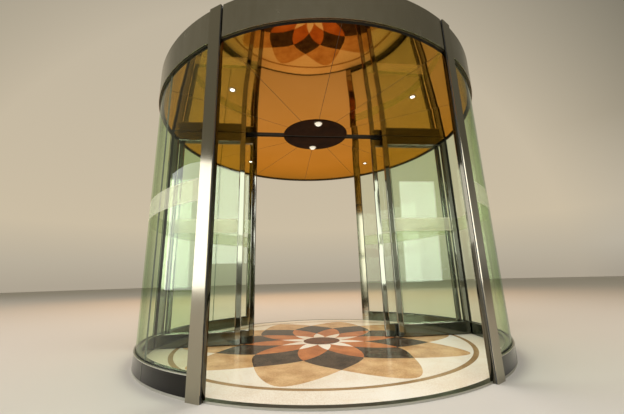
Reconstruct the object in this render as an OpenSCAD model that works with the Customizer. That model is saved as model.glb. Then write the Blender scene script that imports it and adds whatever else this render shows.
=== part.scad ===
// Two-wing revolving door with a walk-through centre.
// A glazed drum carries a round canopy. Inside it a ceiling, a track beam and two
// fixed side panels turn together, and two glazed leaves slide apart at the centre.
// Front is the -Y side, left is the -X side, and the ground is at z = 0.

/* [Drum] */
// Radius of the stone floor, to the inner face of the drum wall
drum_inner_r = 1800; // [1700:10:2100]
// Thickness of the drum wall at its skirting
wall_t = 65; // [58:1:90]
// Half of the angle that each doorway of the drum spans, at its posts
throat_half_angle = 29.8; // [26:0.2:34]
// Clear height from the stone floor to the ceiling
clear_h = 2550; // [2100:10:2900]
// Height of the canopy above the ceiling
canopy_h = 300; // [280:5:450]
// Height of the skirting that the curved glass stands in
skirting_h = 132; // [80:1:200]
// Bevel along the skirting's top edges
skirting_edge = 3; // [1:0.5:6]

/* [Floor] */
// Thickness of the stone floor
stone_t = 12; // [8:1:30]
// Width of the dark metal ring round the stone floor
floor_ring_w = 48; // [20:1:55]
// Joint between the stone and the metal ring
stone_joint = 0.5; // [0.2:0.1:2]

/* [Posts] */
// Width of a doorway post, along the wall
post_w = 114; // [90:1:140]
// How far a post stands proud of the wall's outer face
post_proud = 18; // [14:1:22]
// Depth of a post, through the wall
post_depth = 52; // [48:1:60]
// Bevel along the post's corners
post_edge = 2.5; // [1:0.5:5]
// Thickness of the post's front plate, outside the rubber edge
front_plate_t = 6; // [4:1:10]
// Width of the rubber safety edge beside the front plate
safety_edge_w = 9; // [6:1:14]
// How deep the rubber edge sits in the post
safety_edge_bite = 6; // [4:1:10]
// How far the rubber edge stands out of the post
safety_edge_proud = 2; // [1:0.5:4]
// Height above the ground where the rubber edge starts
safety_edge_z = 34; // [0:1:100]

/* [Glass] */
// Thickness of the curved glass
curved_glass_t = 12; // [8:1:14]
// Distance from the wall's outer face to the curved glass
curved_glass_inset = 15; // [12:1:18]
// Angle from the front to the joint between a side's two panes
pane_joint_angle = 52; // [45:1:65]
// Joint between two curved panes
pane_joint = 4; // [2:1:10]
// Thickness of the flat glass in panels and leaves
flat_glass_t = 10; // [8:1:14]
// How deep a pane is held in its frame
glass_bite = 10; // [5:1:16]

/* [Canopy] */
// Thickness of the curved fascia sheet
fascia_t = 5; // [3:0.5:8]
// How far the fascia hangs below the ceiling
fascia_drop = 8; // [0:1:20]
// Width of the fascia's lip over the roof
fascia_lip = 26; // [15:1:45]
// Open joint between a doorway's fascia and its posts
fascia_joint = 14; // [6:1:20]
// Height of the fixed ring behind the fascia
canopy_ring_h = 60; // [40:1:120]
// Shadow gap between the fixed ring and the fascia
shadow_gap = 6; // [3:1:8]
// Thickness of the canopy's top sheet
roof_t = 12; // [8:1:20]
// How deep the top sheet lies below the fascia's edge
roof_recess = 12; // [10:1:30]
// Distance of the top sheet's two joints from the centre
roof_joint_y = 620; // [400:10:900]
// Width of the fixed cross beam that carries the rotor
cross_beam_w = 160; // [120:5:240]
// Height of the fixed cross beam
cross_beam_h = 90; // [60:5:110]
// Radius of the bearing housing under the cross beam
bearing_r = 95; // [80:1:120]
// Height of the bearing housing
bearing_h = 22; // [15:1:30]

/* [Rotor] */
// Running gap between the turning ceiling and the fixed ring
ceiling_gap = 6; // [6:1:16]
// Thickness of the turning ceiling
ceiling_t = 10; // [6:1:16]
// Angle between two seams of the ceiling
seam_step = 30; // [15, 30, 60]
// Width of a ceiling seam
seam_w = 3; // [2:0.5:6]
// Depth of a ceiling seam
seam_depth = 2; // [1:0.5:4]
// Width of the track beam
track_beam_w = 120; // [110:1:160]
// Height of the track beam
track_beam_h = 96; // [90:1:110]
// Radius of the dark hub disc on the ceiling
hub_r = 421; // [390:1:500]
// Thickness of the hub disc
hub_t = 6; // [4:1:8]
// Bevel round the hub disc's rim
hub_bevel = 3; // [1:0.5:3.5]
// Width of the slot in the hub disc under the leaves' track
hub_slot_w = 55; // [26:1:80]
// Radius of the spindle that the rotor hangs on
spindle_r = 45; // [35:1:60]
// Running clearance of the spindle in its bearing
spindle_clearance = 0.05; // [0.02:0.01:0.1]

/* [Side panels] */
// Distance from the centre to a side panel's inner stile
panel_inner_x = 908; // [800:1:1000]
// Width of a side panel's inner stile
panel_stile_w = 54; // [40:1:70]
// Width of a side panel's outer stile
panel_outer_stile_w = 46; // [35:1:70]
// Depth of the side panels' profiles
panel_depth = 45; // [35:1:50]
// Distance of the side panels' middle plane in front of the centre
panel_y = 28; // [26:1:34]
// Height of the side panels' top rail
top_rail_h = 115; // [80:1:160]
// Height of the bottom rails
bottom_rail_h = 125; // [80:1:180]
// Bevel along the rails and stiles
bar_edge = 2; // [1:0.5:4]
// Gap between the floor and the rotor's rails
floor_gap = 10; // [6:1:16]
// Gap between a side panel's outer stile and the skirting
wall_gap = 12; // [8:1:25]

/* [Sliding leaves] */
// Distance from the centre to a leaf's nose with the doorway open
leaf_nose_x = 766; // [650:1:840]
// Gap between an open leaf's tail and the drum wall
leaf_wall_gap = 68; // [40:1:120]
// Width of a leaf's leading stile
leaf_stile_w = 48; // [36:1:60]
// Bevel along a leaf's nose
leaf_nose_edge = 7; // [3:1:12]
// Width of a leaf's trailing stile
leaf_tail_stile_w = 40; // [30:1:60]
// Depth of the leaves' profiles
leaf_depth = 40; // [32:1:44]
// Distance of the leaves' middle plane behind the centre
leaf_y = 35; // [33:1:38]
// Gap between the leaves' top and the ceiling
leaf_top_gap = 14; // [13:1:20]
// Height of a leaf's top rail
leaf_top_rail_h = 100; // [70:1:140]
// Width of the slots that hold brush seals and nose strips
brush_slot_w = 8; // [5:1:12]
// Depth of those slots
brush_slot_depth = 6; // [4:1:10]

/* [Hangers] */
// Thickness of a hanger plate
hanger_t = 6; // [4:1:8]
// Length of a hanger plate
hanger_l = 110; // [80:1:160]
// Distance from a leaf's stile to the middle of its hanger
hanger_inset = 120; // [90:1:200]
// Radius of a hanger's rollers
roller_r = 15; // [10:1:18]
// Width of a roller
roller_w = 9; // [6:1:11]

/* [Lamps] */
// Radius of the round lamps on the hub disc
dome_lamp_r = 48; // [30:1:50]
// Distance of the round lamps from the centre
dome_lamp_place_r = 340; // [250:1:340]
// Height of the collar under a round lamp's glass
dome_collar_h = 6; // [3:1:10]
// Radius of the ceiling spotlights
spot_r = 38; // [25:1:55]
// Distance of the spotlights from the centre
spot_place_r = 1330; // [900:5:1500]

/* [Hidden] */
$fn = 64;
drum_fn = 240;

// Finishes
bronze = [0.36, 0.34, 0.28];
gate_grey = [0.42, 0.42, 0.37];
near_black = [0.08, 0.08, 0.07];
soffit_olive = [0.30, 0.28, 0.22];
glass_green = [0.6, 0.75, 0.62, 0.4];

// Clearances: a pane or sheet lies this far from its seat, and cuts reach past a face
seat = 0.3;
cut = 1;

// Levels, from the ground up
floor_z = stone_t;
ceiling_z = floor_z + clear_h;
top_z = ceiling_z + canopy_h;
skirting_top = floor_z + skirting_h;
fascia_z = ceiling_z - fascia_drop;
rotor_foot_z = floor_z + floor_gap;
leaf_top_z = ceiling_z - leaf_top_gap;
beam_top_z = ceiling_z + track_beam_h;
roof_z = top_z - roof_recess - roof_t;
cross_beam_z = roof_z - cross_beam_h;

// Radii, from the outside in
wall_r = drum_inner_r + wall_t;
post_r = wall_r + post_proud;
post_inner_r = post_r - post_depth;
fascia_inner_r = wall_r + seat;
fascia_r = fascia_inner_r + fascia_t;
canopy_ring_r = wall_r - shadow_gap;
glass_outer_r = wall_r - curved_glass_inset;
glass_inner_r = glass_outer_r - curved_glass_t;
ceiling_r = post_inner_r - ceiling_gap;

// Doorway posts: a post's middle lies half its width past the doorway's edge
post_half_angle = asin(post_w / 2 / wall_r);
post_angle = throat_half_angle + post_half_angle;
wall_mid_angle = 90;

// Curved glass, held in the skirting, the canopy ring and the posts
glass_z = skirting_top - glass_bite + seat;
glass_top_z = fascia_z + glass_bite - seat;
glass_end_y = post_w / 2 - glass_bite + seat;
pane_half_joint = pane_joint / 2 / glass_outer_r * 180 / PI;
// The post's groove is straight, so it also takes up the glass's curve
groove_curve_play = glass_inner_r - sqrt(pow(glass_inner_r, 2) - pow(post_w / 2, 2));

// Rotor pieces that line up with the track
slot_w = hanger_t + 12;
slot_margin = 3;
hub_slot_back = leaf_y + slot_w / 2 + slot_margin;
hub_slot_front = hub_slot_w - hub_slot_back;
lip_h = 8;
channel_play = 6;
channel_z = ceiling_z + lip_h;
channel_h = 2 * roller_r + channel_play;
channel_w = leaf_depth;
roller_plate_gap = 2;
track_end_play = 10;
panel_outer_x = sqrt(pow(drum_inner_r - wall_gap, 2) - pow(panel_y + panel_depth / 2, 2));
panel_glass_x = panel_inner_x + panel_stile_w;
panel_glass_end_x = panel_outer_x - panel_outer_stile_w;
leaf_tail_x = sqrt(pow(drum_inner_r - leaf_wall_gap, 2) - pow(leaf_y + leaf_depth / 2, 2));
leaf_glass_x = leaf_nose_x + leaf_stile_w;
leaf_glass_end_x = leaf_tail_x - leaf_tail_stile_w;
track_half_l = leaf_tail_x + track_end_play;

// Spindle, lamps and roof joints
flange_r = 130;
flange_t = 12;
dome_sink = 17;
spot_rim_w = 8;
spot_rim_t = 4;
spot_lens_t = 2.5;
spot_bevel = 1.5;
roof_joint_w = 4;
roof_joint_depth = 3;

// A ring, and shapes swept round the drum's axis between two angles measured from the front
module ring(inner_r, outer_r, low_z, high_z) {
    translate([0, 0, low_z])
        difference() {
            cylinder(r = outer_r, h = high_z - low_z, $fn = drum_fn);
            translate([0, 0, -cut]) cylinder(r = inner_r, h = high_z - low_z + 2 * cut, $fn = drum_fn);
        }
}

module swept(outline, from_angle, to_angle) {
    rotate([0, 0, from_angle - 90])
        rotate_extrude(angle = to_angle - from_angle, $fn = drum_fn)
            polygon(outline);
}

// One of the four corners of the doorways, with x outwards and -y towards the passage
module at_post(side, end) {
    mirror([side < 0 ? 1 : 0, 0, 0])
        mirror([0, end > 0 ? 1 : 0, 0])
            rotate([0, 0, post_angle - 90])
                children();
}

module post_block(inner_x, low_y, high_y) {
    translate([inner_x, low_y, -cut])
        cube([post_r + cut - inner_x, high_y - low_y, top_z + 2 * cut]);
}

module post_spaces(inner_x, joint = 0) {
    for (side = [-1, 1], end = [-1, 1])
        at_post(side, end)
            post_block(inner_x, -post_w / 2 - joint, post_w / 2);
}

// Floor
module floor_stone() {
    color([0.86, 0.80, 0.66])
        cylinder(r = drum_inner_r - stone_joint, h = stone_t, $fn = drum_fn);
}

module floor_ring() {
    color([0.22, 0.21, 0.19])
        difference() {
            ring(drum_inner_r, drum_inner_r + floor_ring_w, 0, stone_t);
            post_spaces(post_inner_r);
        }
}

// Drum wall
module skirting(side) {
    outline = [[drum_inner_r, stone_t], [wall_r, stone_t],
               [wall_r, skirting_top - skirting_edge], [wall_r - skirting_edge, skirting_top],
               [glass_outer_r + seat, skirting_top], [glass_outer_r + seat, skirting_top - glass_bite],
               [glass_inner_r - seat, skirting_top - glass_bite], [glass_inner_r - seat, skirting_top],
               [drum_inner_r + skirting_edge, skirting_top], [drum_inner_r, skirting_top - skirting_edge]];
    color(near_black)
        mirror([side < 0 ? 1 : 0, 0, 0])
            difference() {
                swept(outline, post_angle, 180 - post_angle);
                post_spaces(drum_inner_r - cut);
            }
}

module curved_glass(side, end) {
    panes = [[post_angle, pane_joint_angle - pane_half_joint],
             [pane_joint_angle + pane_half_joint, wall_mid_angle - pane_half_joint]];
    outline = [[glass_inner_r, glass_z], [glass_outer_r, glass_z],
               [glass_outer_r, glass_top_z], [glass_inner_r, glass_top_z]];
    color(glass_green)
        mirror([side < 0 ? 1 : 0, 0, 0])
            mirror([0, end > 0 ? 1 : 0, 0])
                difference() {
                    for (pane = panes)
                        swept(outline, pane[0], pane[1]);
                    rotate([0, 0, post_angle - 90])
                        post_block(post_inner_r - cut, -post_w / 2, glass_end_y);
                }
}

// A post: front plate, seat for the rubber edge, and a groove that holds the glass
module post(side, end) {
    half = post_w / 2;
    strip_x = post_r - front_plate_t - safety_edge_w;
    groove_x = glass_inner_r - groove_curve_play - seat;
    groove_end_x = glass_outer_r + seat;
    color(bronze)
        at_post(side, end)
            linear_extrude(height = top_z)
                polygon([[post_inner_r, -half + post_edge], [post_inner_r + post_edge, -half],
                         [strip_x, -half], [strip_x, -half + safety_edge_bite],
                         [strip_x + safety_edge_w, -half + safety_edge_bite], [strip_x + safety_edge_w, -half],
                         [post_r - post_edge, -half], [post_r, -half + post_edge],
                         [post_r, half - post_edge], [post_r - post_edge, half],
                         [groove_end_x, half], [groove_end_x, half - glass_bite],
                         [groove_x, half - glass_bite], [groove_x, half],
                         [post_inner_r + post_edge, half], [post_inner_r, half - post_edge]]);
}

module safety_edges() {
    low_x = post_r - front_plate_t - safety_edge_w;
    nose_y = -post_w / 2 - safety_edge_proud;
    nose_bevel = min(safety_edge_proud, safety_edge_w / 3);
    color(near_black)
        for (side = [-1, 1], end = [-1, 1])
            at_post(side, end)
                translate([0, 0, safety_edge_z])
                    linear_extrude(height = top_z - safety_edge_z)
                        polygon([[low_x, -post_w / 2 + safety_edge_bite], [low_x, nose_y + nose_bevel],
                                 [low_x + nose_bevel, nose_y], [low_x + safety_edge_w - nose_bevel, nose_y],
                                 [low_x + safety_edge_w, nose_y + nose_bevel],
                                 [low_x + safety_edge_w, -post_w / 2 + safety_edge_bite]]);
}

// Canopy
module canopy_ring() {
    color(soffit_olive)
        difference() {
            ring(post_inner_r, canopy_ring_r, fascia_z, fascia_z + canopy_ring_h);
            ring(glass_inner_r - seat, glass_outer_r + seat, fascia_z - cut, fascia_z + glass_bite);
            post_spaces(post_inner_r - 2 * cut);
        }
}

module fascia(from_angle, to_angle, joint) {
    outline = [[fascia_inner_r, fascia_z], [fascia_r, fascia_z], [fascia_r, top_z],
               [fascia_r - fascia_lip, top_z], [fascia_r - fascia_lip, top_z - fascia_t],
               [fascia_inner_r, top_z - fascia_t]];
    color(bronze)
        difference() {
            swept(outline, from_angle, to_angle);
            post_spaces(post_inner_r, joint);
        }
}

module canopy_roof() {
    color([0.35, 0.35, 0.35])
        difference() {
            translate([0, 0, roof_z]) cylinder(r = wall_r, h = roof_t, $fn = drum_fn);
            post_spaces(post_inner_r);
            for (end = [-1, 1])
                translate([-wall_r, end * roof_joint_y - roof_joint_w / 2, roof_z + roof_t - roof_joint_depth])
                    cube([2 * wall_r, roof_joint_w, roof_joint_depth + cut]);
        }
}

module cross_beam() {
    half = sqrt(pow(wall_r, 2) - pow(cross_beam_w / 2, 2));
    color([0.30, 0.30, 0.32])
        difference() {
            union() {
                translate([-half, -cross_beam_w / 2, cross_beam_z]) cube([2 * half, cross_beam_w, cross_beam_h]);
                translate([0, 0, cross_beam_z - bearing_h]) cylinder(r = bearing_r, h = bearing_h + cut);
            }
            translate([0, 0, cross_beam_z - bearing_h - cut])
                cylinder(r = spindle_r + spindle_clearance, h = cross_beam_h + bearing_h + 2 * cut);
        }
}

// Front half of a disc that ends a strip before the centre, with its lower rim bevelled
module half_disc(radius, strip, low_z, thickness, bevel) {
    translate([0, 0, low_z])
        intersection() {
            union() {
                cylinder(r1 = radius - bevel, r2 = radius, h = bevel, $fn = drum_fn);
                translate([0, 0, bevel]) cylinder(r = radius, h = thickness - bevel, $fn = drum_fn);
            }
            translate([-radius, -strip - radius, -cut]) cube([2 * radius, radius, thickness + 2 * cut]);
        }
}

// Turning ceiling, with radial seams from the hub to the rim
module ceiling(end) {
    seam_end = 90 - seam_step;
    color([0.78, 0.50, 0.18])
        mirror([0, end > 0 ? 1 : 0, 0])
            difference() {
                half_disc(ceiling_r, track_beam_w / 2, ceiling_z, ceiling_t, 1);
                for (turn = [-seam_end : seam_step : seam_end])
                    rotate([0, 0, turn])
                        translate([-seam_w / 2, -ceiling_r - cut, ceiling_z - cut])
                            cube([seam_w, ceiling_r + cut - hub_r / 2, seam_depth + cut]);
            }
}

// Track beam: the rollers run on the two lips of a T-shaped channel
module track_beam() {
    half = sqrt(pow(ceiling_r, 2) - pow(track_beam_w / 2, 2));
    color(near_black)
        difference() {
            translate([-half, -track_beam_w / 2, ceiling_z]) cube([2 * half, track_beam_w, track_beam_h]);
            translate([-track_half_l, leaf_y - channel_w / 2, channel_z])
                cube([2 * track_half_l, channel_w, channel_h]);
            translate([-track_half_l, leaf_y - slot_w / 2, ceiling_z - cut])
                cube([2 * track_half_l, slot_w, lip_h + 2 * cut]);
        }
}

module hub_disc() {
    color([0.16, 0.09, 0.05]) {
        half_disc(hub_r, hub_slot_front, ceiling_z - hub_t, hub_t, hub_bevel);
        mirror([0, 1, 0]) half_disc(hub_r, hub_slot_back, ceiling_z - hub_t, hub_t, hub_bevel);
    }
}

module spindle() {
    color([0.55, 0.55, 0.55])
        translate([0, 0, beam_top_z]) {
            cylinder(r = flange_r, h = flange_t);
            cylinder(r = spindle_r, h = roof_z - beam_top_z - seat);
        }
}

// Round lamps on the hub disc, and spotlights in the ceiling
module dome_lamp() {
    cylinder(r = dome_lamp_r + 3, h = dome_collar_h);
    translate([0, 0, dome_collar_h - cut])
        intersection() {
            translate([0, 0, -dome_sink]) sphere(r = dome_lamp_r);
            cylinder(r = dome_lamp_r, h = dome_lamp_r);
        }
}

module spotlight() {
    rotate_extrude()
        polygon([[0, 0], [spot_r, 0], [spot_r, spot_rim_t - spot_bevel], [spot_r - spot_bevel, spot_rim_t],
                 [spot_r - spot_rim_w, spot_rim_t], [spot_r - spot_rim_w - spot_bevel, spot_lens_t],
                 [0, spot_lens_t]]);
}

module ceiling_lamps() {
    color([0.9, 0.88, 0.8]) {
        for (end = [-1, 1])
            translate([0, end * dome_lamp_place_r, ceiling_z - hub_t])
                mirror([0, 0, 1]) dome_lamp();
        for (turn = [45 : 90 : 315])
            rotate([0, 0, turn])
                translate([spot_place_r, 0, ceiling_z])
                    mirror([0, 0, 1]) spotlight();
    }
}

// Section of a rail or stile: its free side at x = 0 is bevelled and may hold a seal,
// and the side at x = width has the groove for the glass
module bar_section(width, depth, edge, slot_depth) {
    half = depth / 2;
    groove = flat_glass_t / 2 + seat;
    slot = brush_slot_w / 2;
    seal_slot = slot_depth > 0 ? [[0, slot], [slot_depth, slot], [slot_depth, -slot], [0, -slot]] : [];
    polygon(concat([[0, edge - half], [edge, -half], [width, -half], [width, -groove],
                    [width - glass_bite, -groove], [width - glass_bite, groove], [width, groove],
                    [width, half], [edge, half], [0, half - edge]], seal_slot));
}

module on_side(side) {
    mirror([side < 0 ? 1 : 0, 0, 0]) children();
}

module bottom_rail(from_x, to_x, middle_y, depth) {
    translate([to_x, middle_y, rotor_foot_z])
        rotate([0, -90, 0])
            linear_extrude(height = to_x - from_x)
                bar_section(bottom_rail_h, depth, bar_edge, brush_slot_depth);
}

module top_rail(from_x, to_x, middle_y, high_z, height, depth, slot_depth) {
    translate([from_x, middle_y, high_z])
        rotate([0, 90, 0])
            linear_extrude(height = to_x - from_x)
                bar_section(height, depth, bar_edge, slot_depth);
}

// A stile whose free side faces the centre, and one whose free side faces the wall
module inner_stile(free_x, middle_y, high_z, width, depth, edge, slot_depth) {
    translate([free_x, middle_y, rotor_foot_z])
        linear_extrude(height = high_z - rotor_foot_z)
            bar_section(width, depth, edge, slot_depth);
}

module outer_stile(free_x, middle_y, high_z, width, depth) {
    translate([free_x, middle_y, rotor_foot_z])
        mirror([1, 0, 0])
            linear_extrude(height = high_z - rotor_foot_z)
                bar_section(width, depth, bar_edge, brush_slot_depth);
}

module flat_glass(from_x, to_x, middle_y, rail_bottom_z) {
    held = glass_bite - seat;
    low_z = rotor_foot_z + bottom_rail_h - held;
    translate([from_x - held, middle_y - flat_glass_t / 2, low_z])
        cube([to_x - from_x + 2 * held, flat_glass_t, rail_bottom_z + held - low_z]);
}

// The two side panels of the rotor, on the right when side is 1
module panel_top_rail(side) {
    color(gate_grey)
        on_side(side)
            top_rail(panel_glass_x, panel_glass_end_x, -panel_y, ceiling_z, top_rail_h, panel_depth, 0);
}

module panel_bottom_rail(side) {
    color(gate_grey)
        on_side(side)
            bottom_rail(panel_glass_x, panel_glass_end_x, -panel_y, panel_depth);
}

module panel_inner_stile(side) {
    color(gate_grey)
        on_side(side)
            inner_stile(panel_inner_x, -panel_y, ceiling_z, panel_stile_w, panel_depth, bar_edge, 0);
}

module panel_outer_stile(side) {
    color(gate_grey)
        on_side(side)
            outer_stile(panel_outer_x, -panel_y, ceiling_z, panel_outer_stile_w, panel_depth);
}

module panel_glass(side) {
    color(glass_green)
        on_side(side)
            flat_glass(panel_glass_x, panel_glass_end_x, -panel_y, ceiling_z - top_rail_h);
}

// The two sliding leaves, parked behind the side panels
module hanger(x) {
    roller_z = channel_z + roller_r + seat;
    stack_w = hanger_t + 2 * roller_plate_gap + 2 * roller_w;
    translate([x - hanger_l / 2, leaf_y - hanger_t / 2, leaf_top_z - cut])
        cube([hanger_l, hanger_t, roller_z + roller_r - leaf_top_z + cut]);
    for (place = [-1, 1])
        translate([x + place * (hanger_l / 2 - roller_r), leaf_y - stack_w / 2, roller_z])
            rotate([-90, 0, 0]) {
                cylinder(r = roller_r, h = roller_w);
                translate([0, 0, stack_w - roller_w]) cylinder(r = roller_r, h = roller_w);
                cylinder(r = roller_r / 3, h = stack_w);
            }
}

module leaf_top_rail(side) {
    color(gate_grey)
        on_side(side) {
            top_rail(leaf_glass_x, leaf_glass_end_x, leaf_y, leaf_top_z, leaf_top_rail_h, leaf_depth, 0);
            hanger(leaf_glass_x + hanger_inset);
            hanger(leaf_glass_end_x - hanger_inset);
        }
}

module leaf_bottom_rail(side) {
    color(gate_grey)
        on_side(side)
            bottom_rail(leaf_glass_x, leaf_glass_end_x, leaf_y, leaf_depth);
}

module leaf_nose_stile(side) {
    color(gate_grey)
        on_side(side)
            inner_stile(leaf_nose_x, leaf_y, leaf_top_z, leaf_stile_w, leaf_depth, leaf_nose_edge, brush_slot_depth);
}

module leaf_tail_stile(side) {
    color(gate_grey)
        on_side(side)
            outer_stile(leaf_tail_x, leaf_y, leaf_top_z, leaf_tail_stile_w, leaf_depth);
}

module leaf_glass(side) {
    color(glass_green)
        on_side(side)
            flat_glass(leaf_glass_x, leaf_glass_end_x, leaf_y, leaf_top_z - leaf_top_rail_h);
}

// Every piece under its own name
floor_stone();
floor_ring();
skirting(-1);  // skirting_left
skirting(1);  // skirting_right
post(-1, -1);  // post_front_left
post(1, -1);  // post_front_right
post(-1, 1);  // post_rear_left
post(1, 1);  // post_rear_right
safety_edges();
curved_glass(-1, -1);  // curved_glass_front_left
curved_glass(-1, 1);  // curved_glass_rear_left
curved_glass(1, -1);  // curved_glass_front_right
curved_glass(1, 1);  // curved_glass_rear_right
canopy_ring();
fascia(-post_angle, post_angle, fascia_joint);  // fascia_front
rotate([0, 0, 180]) fascia(-post_angle, post_angle, fascia_joint);  // fascia_rear
mirror([1, 0, 0]) fascia(post_angle, 180 - post_angle, 0);  // fascia_left
fascia(post_angle, 180 - post_angle, 0);  // fascia_right
canopy_roof();
cross_beam();
ceiling(-1);  // ceiling_front
ceiling(1);  // ceiling_rear
track_beam();
hub_disc();
spindle();
ceiling_lamps();
panel_top_rail(-1);  // panel_left_top_rail
panel_bottom_rail(-1);  // panel_left_bottom_rail
panel_inner_stile(-1);  // panel_left_inner_stile
panel_outer_stile(-1);  // panel_left_outer_stile
panel_glass(-1);  // panel_left_glass
panel_top_rail(1);  // panel_right_top_rail
panel_bottom_rail(1);  // panel_right_bottom_rail
panel_inner_stile(1);  // panel_right_inner_stile
panel_outer_stile(1);  // panel_right_outer_stile
panel_glass(1);  // panel_right_glass
leaf_top_rail(-1);  // leaf_left_top_rail
leaf_bottom_rail(-1);  // leaf_left_bottom_rail
leaf_nose_stile(-1);  // leaf_left_nose_stile
leaf_tail_stile(-1);  // leaf_left_tail_stile
leaf_glass(-1);  // leaf_left_glass
leaf_top_rail(1);  // leaf_right_top_rail
leaf_bottom_rail(1);  // leaf_right_bottom_rail
leaf_nose_stile(1);  // leaf_right_nose_stile
leaf_tail_stile(1);  // leaf_right_tail_stile
leaf_glass(1);  // leaf_right_glass
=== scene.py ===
import math

import bmesh
import bpy
from mathutils import Matrix, Vector


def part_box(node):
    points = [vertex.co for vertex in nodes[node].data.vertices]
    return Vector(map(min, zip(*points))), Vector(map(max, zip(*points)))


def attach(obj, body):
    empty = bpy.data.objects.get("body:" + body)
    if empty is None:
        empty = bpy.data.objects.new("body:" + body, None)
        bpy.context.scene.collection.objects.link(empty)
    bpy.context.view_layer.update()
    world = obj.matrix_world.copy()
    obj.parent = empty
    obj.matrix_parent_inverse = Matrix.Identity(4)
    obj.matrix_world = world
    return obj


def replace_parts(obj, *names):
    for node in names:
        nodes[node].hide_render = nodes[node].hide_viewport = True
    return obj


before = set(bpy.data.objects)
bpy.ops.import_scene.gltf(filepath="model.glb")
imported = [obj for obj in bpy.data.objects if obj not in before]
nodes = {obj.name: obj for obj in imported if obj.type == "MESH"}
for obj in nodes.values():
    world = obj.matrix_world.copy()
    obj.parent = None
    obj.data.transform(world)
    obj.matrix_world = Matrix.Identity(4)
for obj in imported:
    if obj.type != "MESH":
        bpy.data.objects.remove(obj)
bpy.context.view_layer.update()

# Camera, as the photo was taken
eye = Vector((-0.4603, -3.6521, 0.6928))
eye_yaw = math.radians(6.209)
eye_pitch = math.radians(13.492)
eye_roll = math.radians(-1.55)
photo_width = 624
focal_px = 299.86
sensor_mm = 36.0
frame_shift_px = 0.5
nearest_seen = 0.05
farthest_seen = 200


def aim_camera():
    """A wide lens low in front of the doorway, turned a little to the right and tilted up."""
    level_way = Vector((math.sin(eye_yaw), math.cos(eye_yaw), 0))
    forward = math.cos(eye_pitch) * level_way + math.sin(eye_pitch) * Vector((0, 0, 1))
    level = Vector((math.cos(eye_yaw), -math.sin(eye_yaw), 0))
    up = level.cross(forward)
    right = math.cos(eye_roll) * level + math.sin(eye_roll) * up
    above = right.cross(forward)
    data = bpy.data.cameras.new("camera")
    data.sensor_width = sensor_mm
    data.lens = focal_px / photo_width * sensor_mm
    data.shift_x = -frame_shift_px / photo_width
    data.shift_y = frame_shift_px / photo_width
    data.clip_start = nearest_seen
    data.clip_end = farthest_seen
    camera = bpy.data.objects.new("camera", data)
    camera.matrix_world = Matrix((right, above, -forward)).transposed().to_4x4()
    camera.location = eye
    bpy.context.scene.collection.objects.link(camera)
    bpy.context.scene.camera = camera


# Places and sizes read from the frame, in metres


def polar(radius, degrees, z=0.0):
    """A point at a bearing from the front, towards the right."""
    turn = math.radians(degrees)
    return Vector((radius * math.sin(turn), -radius * math.cos(turn), z))


def bearing(point):
    """The bearing of a point from the front, towards the right, in degrees."""
    return math.degrees(math.atan2(point.x, -point.y))


def radii(name):
    """Smallest and largest distance of a node's corners from the drum's axis."""
    spans = [math.hypot(vert.co.x, vert.co.y) for vert in nodes[name].data.vertices]
    return min(spans), max(spans)


floor_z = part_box("floor_stone")[1].z
floor_r = radii("floor_stone")[1]
ring_r = radii("floor_ring")[1]
wall_inner_r, wall_r = radii("skirting_right")
skirting_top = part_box("skirting_left")[1].z
glass_inner_r, glass_outer_r = radii("curved_glass_front_right")
soffit_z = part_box("canopy_ring")[0].z
ceiling_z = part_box("ceiling_front")[0].z
ceiling_r = radii("ceiling_front")[1]
hub_face_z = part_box("hub_disc")[0].z
hub_r = radii("hub_disc")[1]
dome_low_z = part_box("ceiling_lamps")[0].z
roof_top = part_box("canopy_roof")[1].z
top_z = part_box("fascia_front")[1].z

# The posts' own axes: outwards, and sideways away from the doorway
post_points = [vert.co for vert in nodes["post_front_right"].data.vertices]
post_bearings = [bearing(point) for point in post_points]
post_deg = (min(post_bearings) + max(post_bearings)) / 2
post_out = polar(1, post_deg)
post_aside = polar(1, post_deg + 90)
post_inner_r = min(point.dot(post_out) for point in post_points)
post_half = max(point.dot(post_aside) for point in post_points)
edge_points = [vert.co for vert in nodes["safety_edges"].data.vertices if vert.co.x > 0 > vert.co.y]
edge_in = min(point.dot(post_out) for point in edge_points)
edge_out = max(point.dot(post_out) for point in edge_points)
edge_foot_z = min(point.z for point in edge_points)

# Sizes that the frame doesn't tell
pane_joint_degs = (-128, -90, -52, 52, 90, 128)
pane_joint = 0.004
flat_glass_half = 0.005
seam_step_deg = 30
roof_joint_y = 0.62
spot_place_r = 1.33
spot_r = 0.038
spot_lens_r = 0.021
dome_place_r = 0.34
dome_r = 0.048
band_low = 1.262
band_high = 1.427

# Ceiling sheets: they bow up outside a radius, and each has its own slant and a slow ripple
bow_start_r = 0.9
bow_rise = 0.03
sheet_slant = 0.006
sheet_ripple = 0.004


# Material helpers


def new_material(name):
    """A node material with its tree and its Principled shader."""
    material = bpy.data.materials.new(name)
    material.use_nodes = True
    return material, material.node_tree, material.node_tree.nodes["Principled BSDF"]


def add(tree, kind, **values):
    """A new node with some of its settings."""
    node = tree.nodes.new(kind)
    for key, value in values.items():
        setattr(node, key, value)
    return node


def axes(tree, kind):
    """The X, Y and Z of a place on a piece, or of a direction in the surroundings."""
    place = add(tree, "ShaderNodeTexCoord")
    split = add(tree, "ShaderNodeSeparateXYZ")
    tree.links.new(place.outputs[kind], split.inputs["Vector"])
    return split.outputs["X"], split.outputs["Y"], split.outputs["Z"]


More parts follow.
